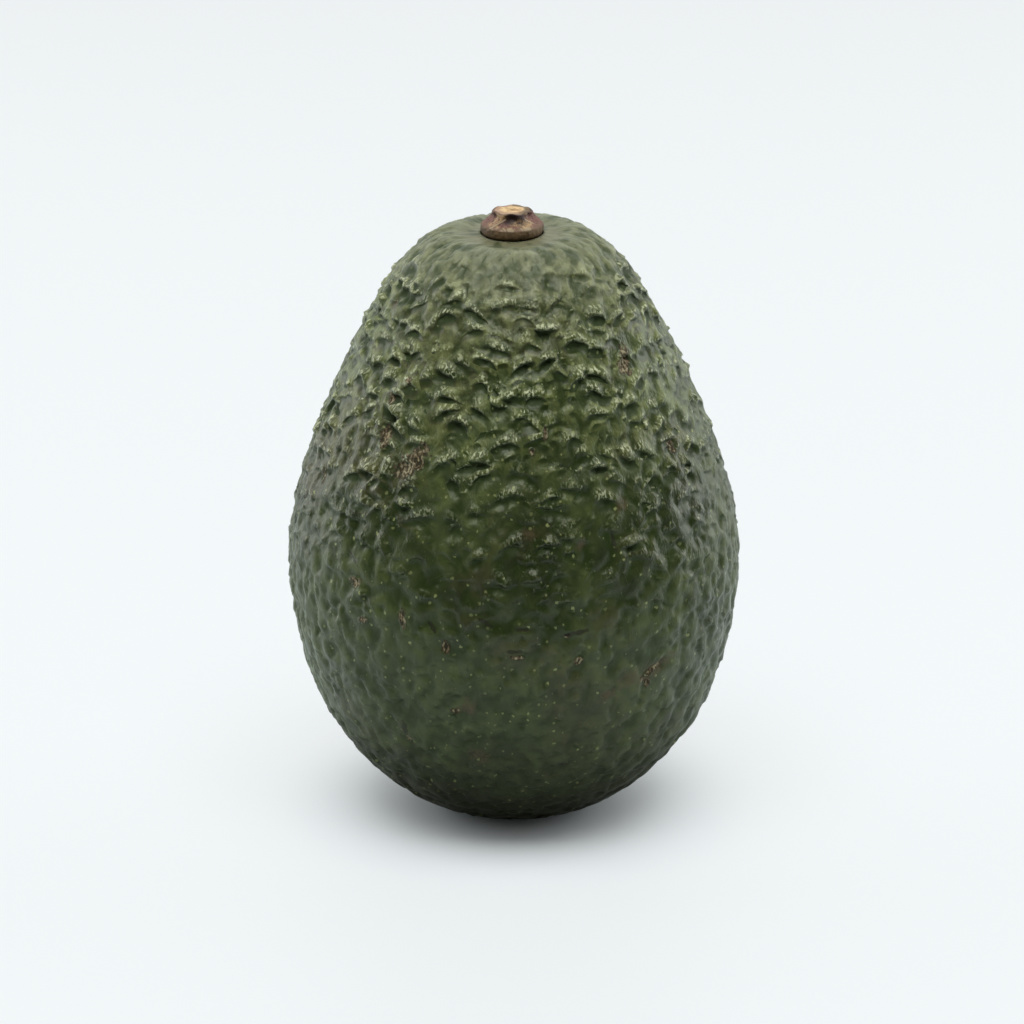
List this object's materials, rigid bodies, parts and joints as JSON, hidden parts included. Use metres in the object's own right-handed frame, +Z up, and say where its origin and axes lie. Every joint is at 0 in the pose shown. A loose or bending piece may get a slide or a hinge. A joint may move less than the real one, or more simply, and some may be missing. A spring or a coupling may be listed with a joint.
{
  "type": "avocado",
  "caption": "Whole green avocado standing on its blossom end, with a pebbled rind, furrowed crown and woody stem button.",
  "frame": {"origin": "middle of the fruit's box in x and y, on the plane that it stands on", "axes": "+Z up along the fruit from blossom end to stem, -Y towards the side that the neck leans to"},
  "size_m": [0.0708, 0.0708, 0.0973],
  "materials": {
    "rind": "waxy, pebbled and softly glossy dark green rind, with pale green dots and brown corky scars",
    "stem_wood": "dry matte brown bark with a pale tan cut face"
  },
  "bodies": {
    "root": {"fruit": "rind", "stem_button": "stem_wood"}
  },
  "joints": []
}
